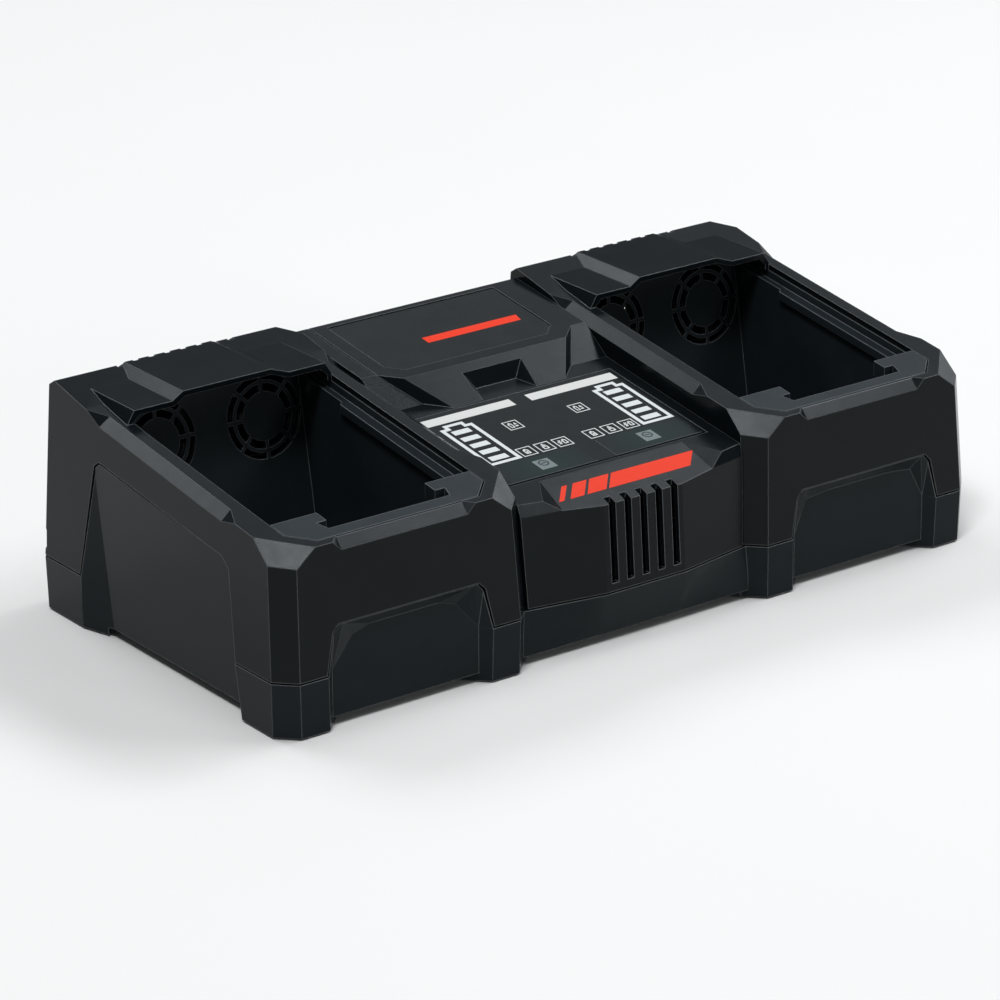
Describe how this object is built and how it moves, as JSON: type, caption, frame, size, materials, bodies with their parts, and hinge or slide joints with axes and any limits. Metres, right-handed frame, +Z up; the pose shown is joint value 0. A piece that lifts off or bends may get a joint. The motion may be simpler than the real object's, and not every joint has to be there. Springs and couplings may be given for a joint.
{
  "type": "power tool battery charger",
  "caption": "Twin-bay charger with faceted wells that take slide-on battery packs, hooded grille walls and a sloping console with a status display.",
  "frame": {"origin": "on the ground under the middle of the charger's box", "axes": "+X to the right across the two wells, +Y to the back, +Z up"},
  "size_m": [0.3808, 0.1956, 0.1098],
  "materials": {
    "cover": "fine moulded texture",
    "housing": "fine moulded texture",
    "well": "satin",
    "panel": "satin",
    "display": "semi-gloss overlay",
    "light": "translucent diffuser",
    "socket": "matte",
    "contact": "plated",
    "screw": "zinc plated",
    "pad": "matte",
    "board": "solder mask",
    "core": "ferrite",
    "winding": "varnished wire and tape",
    "sink": "extruded",
    "can": "sleeved",
    "fan": "satin"
  },
  "bodies": {
    "charger": {"lower_housing": "housing", "console_cover": "cover", "name_panel": "panel", "display_panel": "display", "light_bar_left": "light", "light_bar_right": "light", "display_board": "board", "main_board": "board", "power_inlet": "socket", "inlet_pins": "contact", "housing_screws": "screw", "rubber_feet": "pad", "transformer_core": "core", "transformer_coil": "winding", "heat_sink": "sink", "capacitors": "can", "choke_coil": "winding", "fuse": "contact", "board_screws": "screw", "fan_screws": "screw", "bay_cover_left": "cover", "battery_well_left": "well", "terminal_block_left": "socket", "terminal_blades_left": "contact", "fan_frame_left_outer": "fan", "fan_frame_left_inner": "fan", "bay_cover_right": "cover", "battery_well_right": "well", "terminal_block_right": "socket", "terminal_blades_right": "contact", "fan_frame_right_outer": "fan", "fan_frame_right_inner": "fan"},
    "rotor_left_outer": {"fan_rotor_left_outer": "fan"},
    "rotor_left_inner": {"fan_rotor_left_inner": "fan"},
    "rotor_right_outer": {"fan_rotor_right_outer": "fan"},
    "rotor_right_inner": {"fan_rotor_right_inner": "fan"}
  },
  "joints": [
    {"name": "fan_spin_left_outer", "type": "hinge", "parent": "charger", "child": "rotor_left_outer", "pos_m": [-0.15275, 0.05481, 0.08005], "axis": [0, -0.9848, 0.1736], "continuous": true},
    {"name": "fan_spin_left_inner", "type": "hinge", "parent": "charger", "child": "rotor_left_inner", "pos_m": [-0.09725, 0.05481, 0.08005], "axis": [0, -0.9848, 0.1736], "continuous": true},
    {"name": "fan_spin_right_outer", "type": "hinge", "parent": "charger", "child": "rotor_right_outer", "pos_m": [0.15275, 0.05481, 0.08005], "axis": [0, -0.9848, 0.1736], "continuous": true},
    {"name": "fan_spin_right_inner", "type": "hinge", "parent": "charger", "child": "rotor_right_inner", "pos_m": [0.09725, 0.05481, 0.08005], "axis": [0, -0.9848, 0.1736], "continuous": true}
  ]
}
